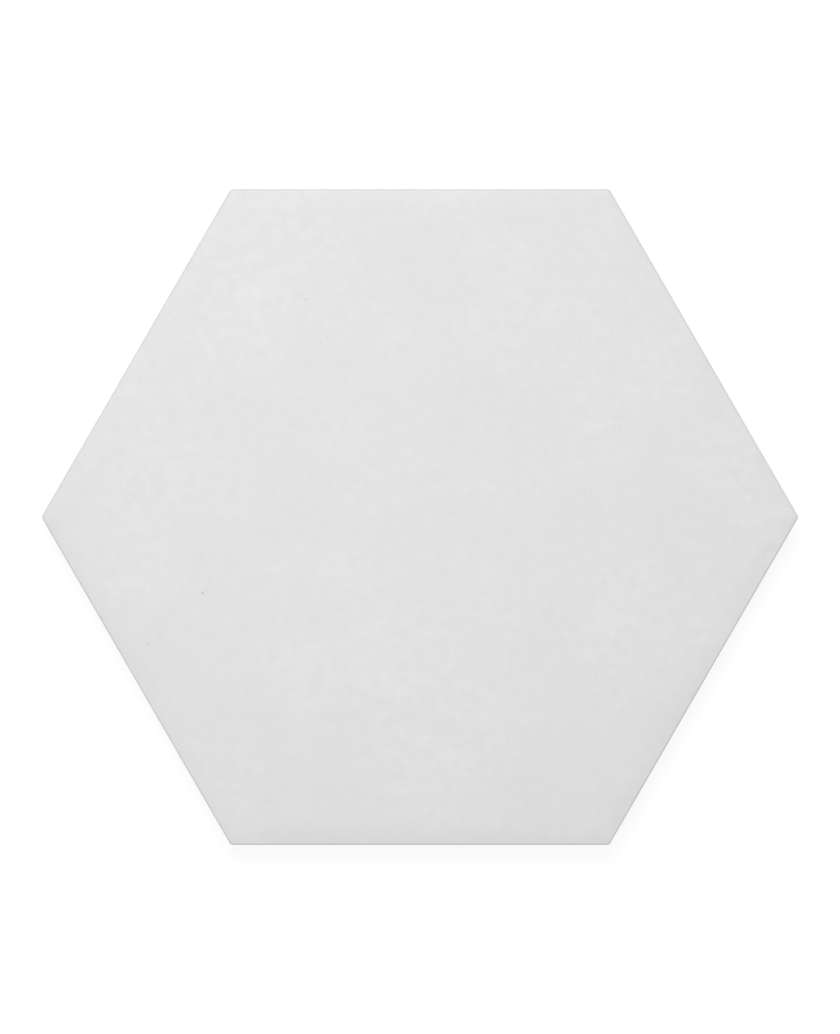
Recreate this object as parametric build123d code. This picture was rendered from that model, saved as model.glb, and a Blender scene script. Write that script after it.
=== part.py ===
from build123d import *
from math import atan2, cos, floor, sin, sqrt, tan
import os

# Face and section, in millimetres
across_flats = 173.5  # from side to opposite side
thickness = 9.0  # from back to face
corner_radius = 1.5  # rounding of the six corners, seen from above
cushion_width = 4.0  # from the side to where the cushion's slope meets the plane of the face
cushion_drop = 0.4  # how far the face falls across that width
cushion_roll = 40.0  # radius that rolls the flat face over into the slope
arris_radius = 0.5  # rounding where the cushion meets the side
back_bevel_inset = 0.7  # how far the back's edge lies inside the side
back_bevel_height = 2.5  # how far the bevel reaches up the side

# Honeycomb key pressed into the back for the bedding mortar to grip
key_pitch = 16.0  # from the middle of one cell to the middle of the next
key_rib = 2.5  # rib between two cells, at the plane of the back
key_depth = 0.7  # from the plane of the back to the floor of a cell
key_draft = 30.0  # lean of the cell walls, in degrees
back_rim = 6.0  # least plain border between the cells and the back's edge

# How the roundings are made
rounding_share = 0.9  # most of the room beside it that a rounding takes up
roll_levels = 4  # steps of the roll, each an outline higher up
tolerance = 1e-6  # for finding edges by their height

# The cushion's section, worked out from the values above
land_top = thickness - cushion_drop  # where the side ends and the slope begins
slope = atan2(cushion_drop, cushion_width)
roll_radius = min(cushion_roll, rounding_share * cushion_width / tan(slope / 2))
roll_reach = roll_radius * tan(slope / 2)  # from the slope's top edge, both ways


def hexagon(apothem, turn):
    return RegularPolygon(apothem, 6, major_radius=False, rotation=turn)


def outline(inset, height):
    """Plan of the tile at a height, with its corners rounded and on X, drawn in from the sides."""
    plan = hexagon(across_flats / 2 - inset, turn=0)
    return Pos(0, 0, height) * fillet(plan.vertices(), corner_radius)


def roll_outlines():
    """Outlines along the roll's arc, from the slope up to the flat of the face."""
    outlines = []
    for level in range(roll_levels, -1, -1):
        lean = slope * level / roll_levels
        inset = cushion_width + roll_reach - roll_radius * sin(lean)
        outlines.append(outline(inset, thickness - roll_radius * (1 - cos(lean))))
    return outlines


def pressed_slab():
    """Blank with a bevelled back edge, a square side land and a cushion that rolls into the face."""
    roll = roll_outlines()
    sides = [outline(back_bevel_inset, 0), outline(0, back_bevel_height), outline(0, land_top)]
    return loft([*sides, roll[0]], ruled=True) + loft(roll)


def ease_arris(slab):
    """Round the edge between the side land and the cushion, corners included."""
    arris = slab.edges().filter_by_position(Axis.Z, land_top - tolerance, land_top + tolerance)
    room = min(corner_radius, cushion_width - roll_reach)
    return fillet(arris, min(arris_radius, rounding_share * room))


def key_cells():
    """Rings of shallow cells around the middle of the back, as many as the rim leaves room for."""
    cell_apothem = (key_pitch - key_rib) / 2
    cell_reach = cell_apothem * 2 / sqrt(3)
    row_pitch = key_pitch * sqrt(3) / 2
    room = across_flats / 2 - back_bevel_inset - back_rim - cell_reach
    rings = floor(room / row_pitch)
    cell = extrude(hexagon(cell_apothem, turn=30), key_depth, taper=key_draft)
    cells = []
    for row in range(-rings, rings + 1):
        row_length = 2 * rings + 1 - abs(row)
        for column in range(row_length):
            along = (column - (row_length - 1) / 2) * key_pitch
            cells.append(Pos(along, row * row_pitch, 0) * cell)
    return cells


hexagon_tile = ease_arris(pressed_slab()) - key_cells()

os.makedirs("parts", exist_ok=True)
export_step(hexagon_tile, "parts/hexagon_tile.step")
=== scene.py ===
from math import cos, floor, pi, radians, sin, tan

import bmesh
import bpy
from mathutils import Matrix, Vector


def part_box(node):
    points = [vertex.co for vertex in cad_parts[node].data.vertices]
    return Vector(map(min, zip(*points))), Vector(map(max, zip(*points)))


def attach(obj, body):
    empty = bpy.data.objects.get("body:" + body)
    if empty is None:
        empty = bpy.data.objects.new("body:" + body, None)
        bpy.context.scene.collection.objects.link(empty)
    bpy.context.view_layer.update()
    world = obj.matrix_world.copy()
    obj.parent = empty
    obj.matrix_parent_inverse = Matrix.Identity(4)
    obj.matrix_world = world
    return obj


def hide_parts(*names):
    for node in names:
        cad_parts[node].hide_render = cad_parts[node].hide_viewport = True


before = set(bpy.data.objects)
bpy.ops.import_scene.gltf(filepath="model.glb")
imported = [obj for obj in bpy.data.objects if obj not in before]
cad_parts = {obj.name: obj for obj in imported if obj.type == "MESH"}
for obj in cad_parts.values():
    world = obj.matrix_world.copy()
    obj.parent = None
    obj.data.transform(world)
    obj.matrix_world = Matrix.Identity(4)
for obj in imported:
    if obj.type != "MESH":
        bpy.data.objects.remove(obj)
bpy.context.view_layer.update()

mm = 0.001
tileLow, tileHigh = (Vector(corner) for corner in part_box("hexagon_tile"))
halfWidth = tileHigh.y  # from the middle of the tile to a side
faceHeight = tileHigh.z
backHeight = tileLow.z
hexAngle = pi / 6  # half of the turn from one side to the next


# Selection helpers

def startFresh():
    if bpy.context.mode != "OBJECT":
        bpy.ops.object.mode_set(mode="OBJECT")
    bpy.ops.object.select_all(action="DESELECT")


def takeUp(*pieces):  # selects these alone, the first one active
    startFresh()
    for piece in pieces:
        piece.select_set(True)
    bpy.context.view_layer.objects.active = pieces[0]


def editing(selectMode):
    if bpy.context.mode == "OBJECT":
        bpy.ops.object.mode_set(mode="EDIT")
    bpy.ops.mesh.select_mode(type=selectMode)


def pick(kind, test):  # kind is edges or faces, in the matching select mode
    bpy.ops.mesh.select_all(action="DESELECT")
    mesh = bpy.context.edit_object.data
    work = bmesh.from_edit_mesh(mesh)
    for item in getattr(work, kind):
        if test(item):
            item.select_set(True)
    work.select_flush_mode()
    bmesh.update_edit_mesh(mesh)


# Drawing helpers

def roundHexagon(apothem, cornerRadius, cornerSteps, turn, middle):  # a flat plate with eased corners
    startFresh()
    bpy.ops.mesh.primitive_circle_add(vertices=6, radius=apothem / cos(hexAngle), fill_type="NGON",
                                      location=middle, rotation=(0, 0, turn))
    plate = bpy.context.active_object
    bpy.ops.object.transform_apply(location=True, rotation=True, scale=True)
    editing("VERT")
    bpy.ops.mesh.select_all(action="SELECT")
    bpy.ops.mesh.bevel(offset=cornerRadius * tan(hexAngle), offset_type="OFFSET", segments=cornerSteps,
                       profile=0.5, affect="VERTICES")
    return plate


def raiseCap(rise, scale, middle):  # pulls the selected cap up and sizes it about the middle
    bpy.ops.mesh.extrude_region_move(TRANSFORM_OT_translate={"value": (0, 0, rise)})
    bpy.ops.transform.resize(value=(scale, scale, 1), center_override=middle)


def easedSection(corners):  # corners are (reach, height, radius, steps); those with steps become arcs
    points = []
    for index, (reach, height, radius, steps) in enumerate(corners):
        here = Vector((reach, height))
        if not steps:
            points.append(here)
            continue
        before = (Vector(corners[index - 1][:2]) - here).normalized()
        after = (Vector(corners[index + 1][:2]) - here).normalized()
        halfAngle = before.angle(after) / 2
        centre = here + (before + after).normalized() * radius / sin(halfAngle)
        first = here + before * radius / tan(halfAngle) - centre
        sweep = first.angle_signed(here + after * radius / tan(halfAngle) - centre)
        for step in range(steps + 1):
            turn = -sweep * step / steps
            points.append(centre + Vector((first.x * cos(turn) - first.y * sin(turn),
                                           first.x * sin(turn) + first.y * cos(turn))))
    return points


# Shell of the tile

tileShape = {
    "cornerRadius": 1.0 * mm, "cornerSteps": 8,
    "sideCuts": 47,  # extra points along each straight side
    "cushionWidth": 4.0 * mm, "cushionDrop": 0.4 * mm, "cushionRadius": 40 * mm, "cushionSteps": 10,
    "arrisRadius": 0.5 * mm, "arrisSteps": 8,
    "bevelInset": 0.7 * mm, "bevelHeight": 2.5 * mm, "bevelRadius": 3 * mm, "bevelSteps": 4,
    "backEdgeRadius": 0.25 * mm, "backEdgeSteps": 4,
    "backMargin": 1.9 * mm,  # ring of the back that is drawn with the sides
    "faceRings": 28,
    "smoothAngle": radians(35),  # faces that meet at less are shaded as one
}


def modelShell(shape):  # an outline on the back, pulled up through the section to the middle of the face
    section = easedSection([
        (halfWidth - shape["backMargin"], backHeight, 0, 0),
        (halfWidth - shape["bevelInset"], backHeight, shape["backEdgeRadius"], shape["backEdgeSteps"]),
        (halfWidth, backHeight + shape["bevelHeight"], shape["bevelRadius"], shape["bevelSteps"]),
        (halfWidth, faceHeight - shape["cushionDrop"], shape["arrisRadius"], shape["arrisSteps"]),
        (halfWidth - shape["cushionWidth"], faceHeight, shape["cushionRadius"], shape["cushionSteps"]),
        (0, faceHeight, 0, 0),
    ])
    rim = section[-2].x
    rings = shape["faceRings"]
    inner = [Vector((rim * (1 - ring / rings), faceHeight)) for ring in range(1, rings)]
    path = section[:-1] + inner
    shell = roundHexagon(path[0].x, shape["cornerRadius"], shape["cornerSteps"], hexAngle,
                         (0, 0, backHeight))
    shell.name = "glazed_hexagon_tile"
    editing("EDGE")
    pick("edges", lambda edge: edge.calc_length() > shape["cornerRadius"])  # the six straight sides
    bpy.ops.mesh.subdivide(number_cuts=shape["sideCuts"])
    editing("FACE")
    bpy.ops.mesh.select_all(action="SELECT")
    for last, point in zip(path, path[1:]):
        raiseCap(point.y - last.y, point.x / last.x, (0, 0, 0))
    bpy.ops.mesh.merge(type="CENTER")
    pick("faces", lambda face: len(face.verts) > 4)
    bpy.ops.mesh.delete(type="ONLY_FACE")  # the back stays open for its cells
    startFresh()
    print("shell", len(shell.data.polygons), "faces")
    return shell


# Keyed back

keyShape = {
    "pitch": 16 * mm, "rib": 2.5 * mm, "depth": 0.7 * mm, "draft": radians(30), "rim": 6 * mm,
    "cornerRadius": 0.8 * mm, "cornerSteps": 3,
    "edgeRadius": 0.2 * mm, "edgeSteps": 3,  # softened lip and foot of each cell wall
}


def keyMiddles(shape):  # middles of the cells, row by row, in rings that leave the rim plain
    cellReach = (shape["pitch"] - shape["rib"]) / 2 / cos(hexAngle)
    rowPitch = shape["pitch"] * cos(hexAngle)
    rings = floor((halfWidth - tileShape["bevelInset"] - shape["rim"] - cellReach) / rowPitch)
    middles = []
    for row in range(-rings, rings + 1):
        rowLength = 2 * rings + 1 - abs(row)
        for column in range(rowLength):
            along = (column - (rowLength - 1) / 2) * shape["pitch"]
            middles.append(Vector((along, row * rowPitch, backHeight)))
    return middles


def modelKey(shape):  # one shallow cell, then copies of it over the back
    middles = keyMiddles(shape)
    apothem = (shape["pitch"] - shape["rib"]) / 2
    lean = shape["depth"] * tan(shape["draft"])
    section = easedSection([
        (apothem + shape["rib"], backHeight, 0, 0),
        (apothem, backHeight, shape["edgeRadius"], shape["edgeSteps"]),
        (apothem - lean, backHeight + shape["depth"], shape["edgeRadius"], shape["edgeSteps"]),
        (0, backHeight + shape["depth"], 0, 0),
    ])[1:-1]  # the outer two only give the wall its roundings
    cell = roundHexagon(section[0].x, shape["cornerRadius"], shape["cornerSteps"], 0, middles[0])
    editing("FACE")
    bpy.ops.mesh.select_all(action="SELECT")
    for last, point in zip(section, section[1:]):
        raiseCap(point.y - last.y, point.x / last.x, middles[0])
    halfway = backHeight + shape["depth"] / 2
    pick("faces", lambda face: len(face.verts) > 4 and face.calc_center_median().z < halfway)
    bpy.ops.mesh.delete(type="ONLY_FACE")  # opens the mouth
    bpy.ops.mesh.select_all(action="SELECT")
    for last, middle in zip(middles, middles[1:]):
        bpy.ops.mesh.duplicate_move(TRANSFORM_OT_translate={"value": middle - last})
    startFresh()
    print("key cells", len(middles))
    return cell


def joinBack(shell, cells):  # ribs and rim fill the flat between the cells and the sides
    takeUp(shell, cells)
    bpy.ops.object.join()
    editing("EDGE")
    bpy.ops.mesh.select_all(action="DESELECT")
    bpy.ops.mesh.select_non_manifold(use_wire=False, use_boundary=True, use_multi_face=False,
                                     use_non_contiguous=False, use_verts=False)
    bpy.ops.mesh.fill(use_beauty=True)
    bpy.ops.mesh.select_all(action="SELECT")
    bpy.ops.mesh.normals_make_consistent(inside=False)
    bpy.ops.mesh.select_all(action="DESELECT")
    bpy.ops.mesh.select_non_manifold()
    work = bmesh.from_edit_mesh(shell.data)
    openEdges = sum(edge.select for edge in work.edges)
    print("back closed, open edges", openEdges, "volume", work.calc_volume() / mm ** 3)
    startFresh()


# Pin marks in the face

pinMarks = {
    "marks": [  # place from the middle, radius, how dark
        (-57.5 * mm, -20.2 * mm, 0.34 * mm, 0.27),
        (-71.8 * mm, -33.7 * mm, 0.24 * mm, 0.15),
        (-30.0 * mm, 57.6 * mm, 0.24 * mm, 0.17),
        (-24.5 * mm, 47.8 * mm, 0.22 * mm, 0.18),
        (53.2 * mm, 24.2 * mm, 0.22 * mm, 0.12),
        (50.3 * mm, 3.0 * mm, 0.2 * mm, 0.2),
    ],
    "depthShare": 0.45,  # depth of each pit against its radius
    "darkShare": 0.5, "fadedShare": 1.3,  # radii inside which it is darkest, and past which it has gone
    "segments": 20, "rings": 12,
}


def pitFace(solid, settings):  # a small ball takes each pit out of the glaze
    pits = []
    for x, y, radius, dark in settings["marks"]:
        depth = radius * settings["depthShare"]
        ball = (radius ** 2 + depth ** 2) / (2 * depth)
        startFresh()
        bpy.ops.mesh.primitive_uv_sphere_add(segments=settings["segments"], ring_count=settings["rings"],
                                             radius=ball, location=(x, y, faceHeight + ball - depth))
        pits.append(bpy.context.active_object)
    takeUp(*pits)
    bpy.ops.object.join()
    takeUp(solid)
    cut = solid.modifiers.new("pin marks", "BOOLEAN")
    cut.operation = "DIFFERENCE"
    cut.object = pits[0]
    bpy.ops.object.modifier_apply(modifier=cut.name)
    bpy.data.objects.remove(pits[0])
    print("pin marks", len(settings["marks"]), "faces now", len(solid.data.polygons))


tile = modelShell(tileShape)
joinBack(tile, modelKey(keyShape))
pitFace(tile, pinMarks)
takeUp(tile)
bpy.ops.object.shade_smooth_by_angle(angle=tileShape["smoothAngle"])
print("tile", len(tile.data.polygons), "faces", tile.dimensions / mm)
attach(tile, "root")
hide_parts("hexagon_tile")


# Shader sums

class Wire:  # a node's output that can stand in a sum
    def __init__(self, bench, socket):
        self.bench = bench
        self.socket = socket

    def also(self, name):  # another output of the same node
        return Wire(self.bench, self.socket.node.outputs[name])

    def work(self, operation, first, second):
        return self.bench.node("ShaderNodeMath", {"operation": operation}, {0: first, 1: second})

    def __add__(self, other):
        return self.work("ADD", self, other)

    def __radd__(self, other):
        return self.work("ADD", other, self)

    def __sub__(self, other):
        return self.work("SUBTRACT", self, other)

    def __rsub__(self, other):
        return self.work("SUBTRACT", other, self)

    def __mul__(self, other):
        return self.work("MULTIPLY", self, other)

    def __rmul__(self, other):
        return self.work("MULTIPLY", other, self)

    def __abs__(self):
        return self.bench.node("ShaderNodeMath", {"operation": "ABSOLUTE"}, {0: self})

    def larger(self, other):
        return self.work("MAXIMUM", self, other)


class Bench:  # where one material's nodes are put together
    def __init__(self, tree):
        self.tree = tree
        tree.nodes.clear()

    def node(self, kind, settings=None, sockets=None, output=0):
        made = self.tree.nodes.new(kind)
        for name, value in (settings or {}).items():
            setattr(made, name, value)
        for name, value in (sockets or {}).items():
            if isinstance(value, Wire):
                self.tree.links.new(value.socket, made.inputs[name])
            else:
                made.inputs[name].default_value = value
        return Wire(self, made.outputs[output]) if made.outputs else made

    def blend(self, share, first, second):  # between two colours
        return self.node("ShaderNodeMix", {"data_type": "RGBA"}, {0: share, 6: first, 7: second}, 2)

    def tint(self, colour, tone):  # a colour made lighter or darker
        return self.node("ShaderNodeVectorMath", {"operation": "SCALE"}, {0: colour, "Scale": tone})

    def fade(self, value, start, end):  # 0 before start, 1 past end, smooth between
        return self.node("ShaderNodeMapRange", {"interpolation_type": "SMOOTHSTEP"},
                         {"Value": value, "From Min": start, "From Max": end})

    def grain(self, place, size, detail=2.0):  # soft noise about zero, with blotches of that size
        noise = self.node("ShaderNodeTexNoise", {"noise_dimensions": "3D"},
                          {"Vector": place, "Scale": 1 / size, "Detail": detail})
        return noise - 0.5


def newMaterial(name):
    made = bpy.data.materials.new(name)
    made.use_nodes = True
    return made, Bench(made.node_tree)


# Glaze

glazeFinish = {
    "white": (0.8, 0.8, 0.8),
    "roughness": 0.6,
    "clouding": 0.08, "cloudSize": 26 * mm,  # slow drift of tone over the face
    "cloudShift": (1169 * mm, -513 * mm, 0),  # slides the clouds about under the tile
    "mottle": 0.12, "mottleSize": 3.2 * mm, "mottleEverywhere": 0.5,  # soft blotches, stronger in patches
    "patchStart": -0.1, "patchFull": 0.12,  # how light a cloud is where such a patch begins and is full
    "ripple": 0.025 * mm,  # the blotches stand up that little
    "mealiness": 0.05, "mealSize": 1.1 * mm, "eggshell": 0.02 * mm,  # fine grain of the fired glaze
    "reach": 1.7 * mm, "softness": 0.25 * mm,  # how far down the side it goes, and how softly it ends
    "wander": 2.6 * mm, "wanderSize": 9 * mm,  # how uneven that end is
    "arrisPaintedShade": 0.12, "arrisWidth": 0.6 * mm,  # painted shade along the arris, partly also the glaze running thin there
}


def glazeCover(bench, flatPlace, z, glaze):  # 1 on the glaze, 0 on the bare body past its uneven end
    wander = bench.grain(flatPlace, glaze["wanderSize"]) * glaze["wander"]
    end = faceHeight - glaze["reach"]
    return bench.fade(z + wander, end - glaze["softness"], end + glaze["softness"])


def arrisMask(bench, x, y, z, glaze):  # how much painted shade darkens the glaze along the arris, partly for the thin glaze there
    across = x * cos(hexAngle)
    along = y * sin(hexAngle)
    gap = halfWidth - abs(y).larger(abs(across + along)).larger(abs(across - along))  # in from the side
    foot = faceHeight - tileShape["cushionDrop"] - tileShape["arrisRadius"]
    aboveSide = bench.fade(z, foot - glaze["softness"], foot + glaze["softness"])
    return (1 - bench.fade(gap, 0, glaze["arrisWidth"])) * aboveSide * glaze["arrisPaintedShade"]


def pinMask(bench, place, settings):  # how dark the face is at each pin mark
    mask = None
    for x, y, radius, dark in settings["marks"]:
        away = bench.node("ShaderNodeVectorMath", {"operation": "DISTANCE"},
                          {0: place, 1: (x, y, faceHeight)}, "Value")
        faded = bench.fade(away, radius * settings["darkShare"], radius * settings["fadedShare"])
        spot = (1 - faded) * dark
        mask = spot if mask is None else mask.larger(spot)
    return mask


def glazeSkin(bench, place, paintedArrisShade, glaze):  # its colour, roughness and relief
    meal = bench.grain(place, glaze["mealSize"])
    cloudPlace = bench.node("ShaderNodeVectorMath", {"operation": "ADD"},
                            {0: place, 1: glaze["cloudShift"]})
    clouds = bench.grain(cloudPlace, glaze["cloudSize"], detail=3.0)
    blotches = bench.grain(place, glaze["mottleSize"], detail=3.0)
    everywhere = glaze["mottleEverywhere"]
    patches = bench.fade(clouds, glaze["patchStart"], glaze["patchFull"]) * (1 - everywhere) + everywhere
    mottle = blotches * patches * glaze["mottle"]
    tone = 1 + meal * glaze["mealiness"] + mottle + clouds * glaze["clouding"]
    # painted shade along the arris darkens the white here
    tone = tone * (1 - pinMask(bench, place, pinMarks)) * (1 - paintedArrisShade)
    roughness = meal * glaze["mealiness"] + glaze["roughness"]
    relief = meal * glaze["eggshell"] + blotches * glaze["ripple"]
    return bench.tint(glaze["white"], tone), roughness, relief


# Bare body

bodyFinish = {
    "ivory": (0.76, 0.73, 0.675, 1),
    "roughness": 0.88,
    "speckle": 0.12, "speckleSize": 0.45 * mm,
    "drift": 0.06, "driftSize": 22 * mm,
    "tooth": 0.05 * mm, "toothSize": 0.35 * mm,
    "drag": 0.1, "dragSize": 2.2 * mm,  # upright marks that the die leaves on the sides
    "dusting": (0.82, 0.81, 0.785, 1),  # kiln wash left on the rib tops
    "dustHeight": 0.02 * mm, "dustEnd": 0.1 * mm,  # full up to the one height and gone at the other
    "dustStart": -0.12, "dustFull": 0.14, "dustTooth": 0.5,  # where it has caught, broken up by the tooth
}


def bodySkin(bench, place, flatPlace, z, body):  # its colour and relief
    tooth = bench.grain(place, body["toothSize"], detail=3.0)
    speckle = bench.grain(place, body["speckleSize"])
    drift = bench.grain(place, body["driftSize"], detail=3.0)
    upright = bench.fade(z, backHeight + keyShape["depth"], backHeight + 2 * keyShape["depth"])
    drag = bench.grain(flatPlace, body["dragSize"], detail=5.0) * upright
    tone = 1 + speckle * body["speckle"] + drift * body["drift"] + drag * body["drag"]
    ribTop = 1 - bench.fade(z, backHeight + body["dustHeight"], backHeight + body["dustEnd"])
    caught = bench.fade(drift + tooth * body["dustTooth"], body["dustStart"], body["dustFull"])
    clay = bench.blend(ribTop * caught, body["ivory"], body["dusting"])
    return bench.tint(clay, tone), (tooth + drag) * body["tooth"]


def porcelainMaterial(glaze, body):
    made, bench = newMaterial("matte_glazed_porcelain")
    place = bench.node("ShaderNodeTexCoord", output="Object")
    x = bench.node("ShaderNodeSeparateXYZ", sockets={"Vector": place})
    y = x.also("Y")
    z = x.also("Z")
    flatPlace = bench.node("ShaderNodeCombineXYZ", sockets={"X": x, "Y": y})

    glazed = glazeCover(bench, flatPlace, z, glaze)
    white, glazeRoughness, glazeRelief = glazeSkin(bench, place, arrisMask(bench, x, y, z, glaze), glaze)
    clay, bodyRelief = bodySkin(bench, place, flatPlace, z, body)
    roughness = glazed * (glazeRoughness - body["roughness"]) + body["roughness"]
    height = glazed * glazeRelief + (1 - glazed) * bodyRelief
    bump = bench.node("ShaderNodeBump", sockets={"Height": height, "Distance": 1.0, "Strength": 1.0})
    surface = bench.node("ShaderNodeBsdfPrincipled",
                         sockets={"Base Color": bench.blend(glazed, clay, white),
                                  "Roughness": roughness, "Normal": bump})
    bench.node("ShaderNodeOutputMaterial", sockets={"Surface": surface})
    return made


tile.data.materials.clear()
tile.data.materials.append(porcelainMaterial(glazeFinish, bodyFinish))
print("finish", tile.data.materials[0].name)


# Floor, light and camera

studio = {
    "floorSize": 8.0, "floorWhite": (0.75, 0.75, 0.75, 1),
    "floorGlow": 0.8, "glowStrength": 1.1,  # how much of the floor shows plain white, and how bright
    "shadowReach": 0.25, "glowReach": 1.0,  # between these the floor turns all white
    "domeStrength": 0.412,
    "keyPlace": (-0.12, 0.93, 1.39), "keySize": 0.9, "keyPower": 11.9,
    "topPlace": (-0.05, 0.032, 0.35), "topSize": 0.26, "topPower": 0.24,
    "white": (1, 1, 1, 1),  # of the floor's glow and the dome
    "lens": 100.0, "frameWidth": 840, "frameHeight": 1034, "fill": 0.9,  # share of the frame's width
}


def seenDirectly(bench):  # rays from the camera, or by way of a mirror or glass
    camera = bench.node("ShaderNodeLightPath", output="Is Camera Ray")
    return camera.larger(camera.also("Is Glossy Ray")).larger(camera.also("Is Transmission Ray"))


def whiteFloor(settings):
    made, bench = newMaterial("white_floor")
    lit = bench.node("ShaderNodeBsdfDiffuse", sockets={"Color": settings["floorWhite"]})
    glow = bench.node("ShaderNodeEmission",
                      sockets={"Color": settings["white"], "Strength": settings["glowStrength"]})
    place = bench.node("ShaderNodeTexCoord", output="Object")
    away = bench.node("ShaderNodeVectorMath", {"operation": "LENGTH"}, {0: place}, "Value")
    far = bench.fade(away, settings["shadowReach"], settings["glowReach"])
    share = seenDirectly(bench) * (far * (1 - settings["floorGlow"]) + settings["floorGlow"])
    surface = bench.node("ShaderNodeMixShader", sockets={0: share, 1: lit, 2: glow})
    bench.node("ShaderNodeOutputMaterial", sockets={"Surface": surface})
    return made


def layFloor(settings):
    startFresh()
    bpy.ops.mesh.primitive_plane_add(size=settings["floorSize"], location=(0, 0, backHeight))
    studioFloor = bpy.context.active_object
    studioFloor.name = "floor"
    studioFloor.data.materials.append(whiteFloor(settings))


def hangDome(settings):  # plain white to the eye, dimmer as a light
    world = bpy.data.worlds.new("dome")
    bpy.context.scene.world = world
    world.use_nodes = True
    bench = Bench(world.node_tree)
    strength = settings["domeStrength"] + seenDirectly(bench) * (1 - settings["domeStrength"])
    dome = bench.node("ShaderNodeBackground", sockets={"Color": settings["white"], "Strength": strength})
    bench.node("ShaderNodeOutputWorld", sockets={"Surface": dome})


def hangLamp(name, place, size, power):  # a round softbox turned to the tile, not seen itself
    facing = Vector(place).to_track_quat("Z", "Y").to_euler()
    bpy.ops.object.light_add(type="AREA", location=place, rotation=facing)
    lamp = bpy.context.active_object
    lamp.name = name
    lamp.visible_camera = False
    lamp.data.shape = "DISK"
    lamp.data.size = size
    lamp.data.energy = power


def setCamera(settings):  # straight above, at the height from which the tile fills its share
    bpy.ops.object.camera_add()
    camera = bpy.context.active_object
    camera.data.lens = settings["lens"]
    frameHigh = camera.data.sensor_width / settings["lens"]  # what the upright frame takes in from 1 m off
    frameWide = frameHigh * settings["frameWidth"] / settings["frameHeight"]
    camera.location.z = faceHeight + 2 * tileHigh.x / settings["fill"] / frameWide
    bpy.context.scene.camera = camera
    bpy.context.scene.view_settings.view_transform = "Standard"
    print("studio", "camera height", camera.location.z)


layFloor(studio)
hangDome(studio)
hangLamp("key", studio["keyPlace"], studio["keySize"], studio["keyPower"])
hangLamp("top", studio["topPlace"], studio["topSize"], studio["topPower"])
setCamera(studio)
